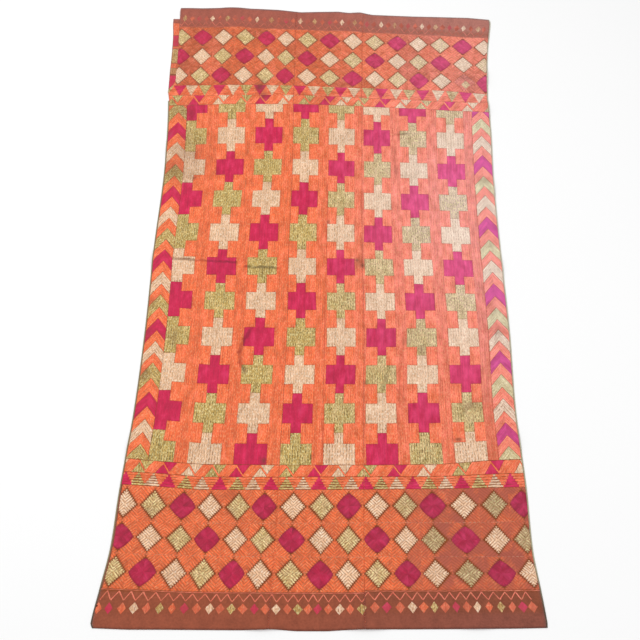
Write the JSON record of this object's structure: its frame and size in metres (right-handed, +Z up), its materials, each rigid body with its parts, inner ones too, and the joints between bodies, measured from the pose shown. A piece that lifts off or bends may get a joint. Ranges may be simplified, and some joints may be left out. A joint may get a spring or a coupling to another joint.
{
  "type": "phulkari shawl",
  "caption": "Large embroidered shawl laid out flat: seamed cotton panels covered in silk darning with crosses, diamonds and chevron borders.",
  "frame": {"origin": "centre of the bounding box on the underside, where the shawl rests", "axes": "+Y up the length towards the far end, +X to the right across the width, +Z up out of the embroidered face"},
  "size_m": [1.3718, 2.4206, 0.0093],
  "materials": {
    "khaddar": "coarse handwoven cotton, rust brown, matt",
    "edging_thread": "grey-green cotton overcast, matt",
    "silk_orange": "untwisted silk floss, orange, soft sheen",
    "silk_magenta": "untwisted silk floss, magenta, soft sheen",
    "silk_cream": "untwisted silk floss, cream, soft sheen",
    "silk_green": "untwisted silk floss, olive green, soft sheen"
  },
  "bodies": {
    "root": {"left_panel": "khaddar", "centre_panel": "khaddar", "right_panel": "khaddar", "left_pleat": "khaddar", "left_edging": "edging_thread", "right_edging": "edging_thread"}
  },
  "joints": []
}
